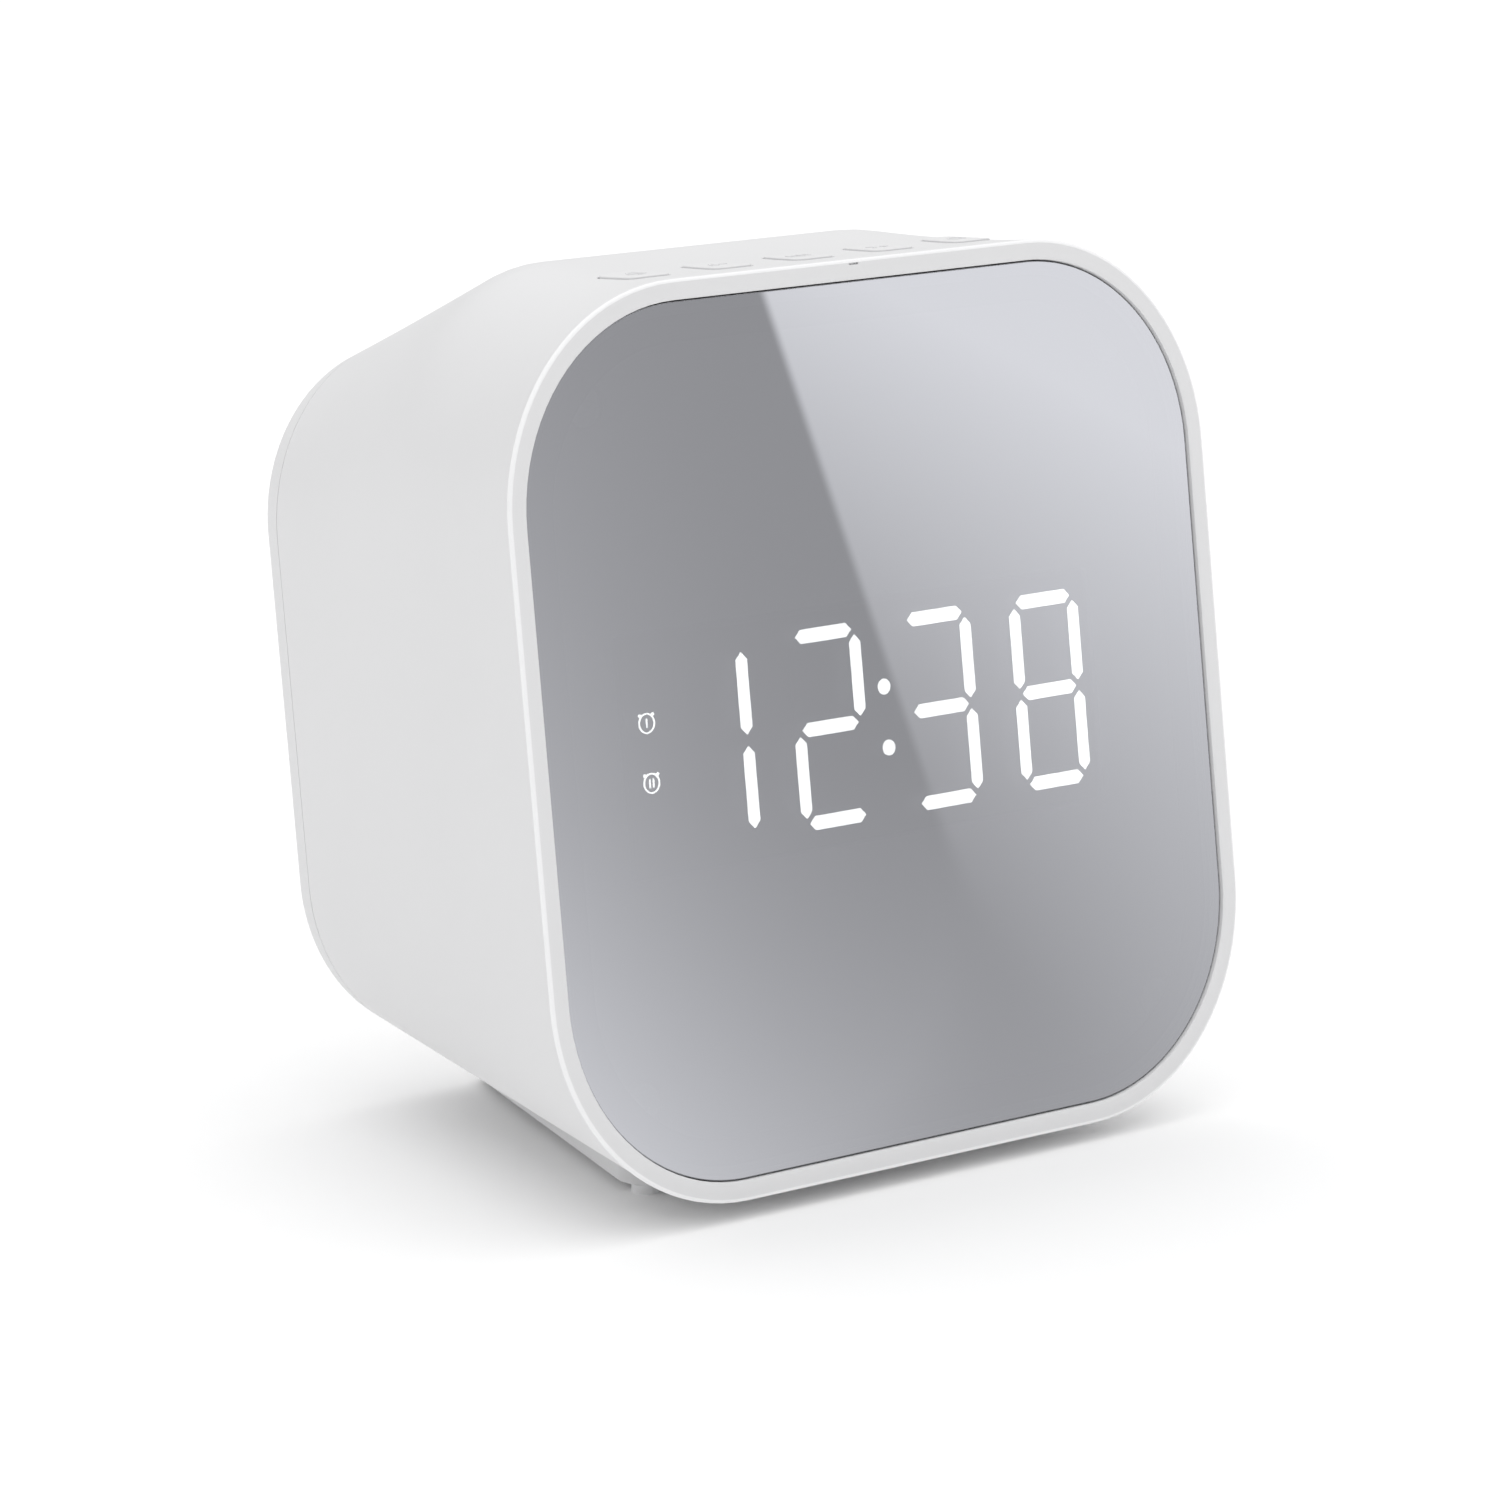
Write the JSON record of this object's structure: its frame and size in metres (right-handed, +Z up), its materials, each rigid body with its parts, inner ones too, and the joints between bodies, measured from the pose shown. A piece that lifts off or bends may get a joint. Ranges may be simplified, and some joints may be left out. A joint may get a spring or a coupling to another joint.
{
  "type": "clock radio",
  "caption": "White bedside clock radio with a square mirror front that leans back, a bar-digit display behind it, a row of low top keys and a tapering case.",
  "frame": {"origin": "middle of the footprint, on the plane under the feet", "axes": "+Z up, the mirror face looks towards -Y, +X along the row of keys"},
  "size_m": [0.1022, 0.0796, 0.1037],
  "materials": {
    "case_white": "fine satin moulded ABS, white",
    "key_white": "satin moulded ABS, white",
    "half_mirror": "silvered clear acrylic that lets the display shine through",
    "foam_tape": "thin black mounting tape",
    "frame_black": "moulded black",
    "film_smoke": "smoked diffuser film",
    "lamp_grey": "moulded grey reflector",
    "bar_lit": "glowing white",
    "bar_dark": "unlit milky plastic",
    "led_chip": "phosphor dome",
    "board_green": "solder mask",
    "screw_steel": "zinc plated",
    "switch_black": "moulded black",
    "plunger_brown": "moulded brown",
    "rubber_white": "soft white",
    "basket_black": "black stamped steel",
    "magnet_grey": "sintered ferrite",
    "plate_zinc": "yellow zinc",
    "coil_copper": "enamelled copper wire",
    "cone_paper": "pressed paper pulp",
    "surround_foam": "soft roll",
    "spider_cloth": "corrugated treated cloth",
    "gasket_foam": "closed cell foam",
    "terminal_tan": "phenolic tag strip",
    "chip_black": "moulded epoxy",
    "can_tin": "tinned steel",
    "can_sleeve": "dark shrink sleeve",
    "jack_black": "moulded black",
    "cable_grey": "flat cable jacket",
    "wire_red": "insulated wire",
    "cell_steel": "nickel plated",
    "contact_spring": "plated spring strip"
  },
  "bodies": {
    "case": {"main_shell": "case_white", "rear_cover": "case_white", "base_plate": "case_white", "feet": "rubber_white", "clock_cell": "cell_steel", "cell_contact_minus": "contact_spring", "cell_contact_plus": "contact_spring", "base_screws": "screw_steel", "mirror_panel": "half_mirror", "mirror_tape": "foam_tape", "front_frame": "frame_black", "frame_screws": "screw_steel", "display_film": "film_smoke", "light_box": "lamp_grey", "lit_bars": "bar_lit", "unlit_bars": "bar_dark", "colon_dots": "bar_lit", "alarm_marks": "bar_lit", "display_leds": "led_chip", "display_board": "board_green", "display_screws": "screw_steel", "key_switches": "switch_black", "key_board": "board_green", "key_board_screws": "screw_steel", "speaker_gasket": "gasket_foam", "speaker_basket": "basket_black", "speaker_top_plate": "plate_zinc", "speaker_magnet": "magnet_grey", "speaker_yoke": "plate_zinc", "speaker_surround": "surround_foam", "speaker_spider": "spider_cloth", "speaker_screws": "screw_steel", "speaker_terminal": "terminal_tan", "main_board": "board_green", "board_screws": "screw_steel", "clock_chip": "chip_black", "tuner_can": "can_tin", "sound_chip": "chip_black", "clock_crystal": "can_tin", "capacitors": "can_sleeve", "power_jack": "jack_black", "antenna_gland": "rubber_white", "case_screws": "screw_steel", "display_cable": "cable_grey", "key_cable": "cable_grey", "speaker_wires": "wire_red"},
    "door": {"battery_door": "case_white"},
    "cone": {"voice_coil": "coil_copper", "speaker_cone": "cone_paper", "dust_cap": "cone_paper"},
    "key_a_body": {"key_a": "key_white", "plunger_a": "plunger_brown"},
    "key_b_body": {"key_b": "key_white", "plunger_b": "plunger_brown"},
    "key_c_body": {"key_c": "key_white", "plunger_c": "plunger_brown"},
    "key_d_body": {"key_d": "key_white", "plunger_d": "plunger_brown"},
    "key_e_body": {"key_e": "key_white", "plunger_e": "plunger_brown"}
  },
  "joints": [
    {"name": "key_a_press", "type": "slide", "parent": "case", "child": "key_a_body", "axis": [0, -0.0449, -0.999], "range_m": [0, 0.0003], "stiffness_N_per_m": 1000, "springref_m": -0.0002},
    {"name": "key_b_press", "type": "slide", "parent": "case", "child": "key_b_body", "axis": [0, -0.0449, -0.999], "range_m": [0, 0.0003], "stiffness_N_per_m": 1000, "springref_m": -0.0002},
    {"name": "key_c_press", "type": "slide", "parent": "case", "child": "key_c_body", "axis": [0, -0.0449, -0.999], "range_m": [0, 0.0003], "stiffness_N_per_m": 1000, "springref_m": -0.0002},
    {"name": "key_d_press", "type": "slide", "parent": "case", "child": "key_d_body", "axis": [0, -0.0449, -0.999], "range_m": [0, 0.0003], "stiffness_N_per_m": 1000, "springref_m": -0.0002},
    {"name": "key_e_press", "type": "slide", "parent": "case", "child": "key_e_body", "axis": [0, -0.0449, -0.999], "range_m": [0, 0.0003], "stiffness_N_per_m": 1000, "springref_m": -0.0002},
    {"name": "door_slide", "type": "slide", "parent": "case", "child": "door", "axis": [0, 1, 0], "range_m": [0, 0.014]},
    {"name": "cone_travel", "type": "slide", "parent": "case", "child": "cone", "axis": [0, 0.9914, -0.1305], "range_m": [-0.0008, 0.0008], "stiffness_N_per_m": 1500, "deforming": ["speaker_surround", "speaker_spider"]}
  ]
}
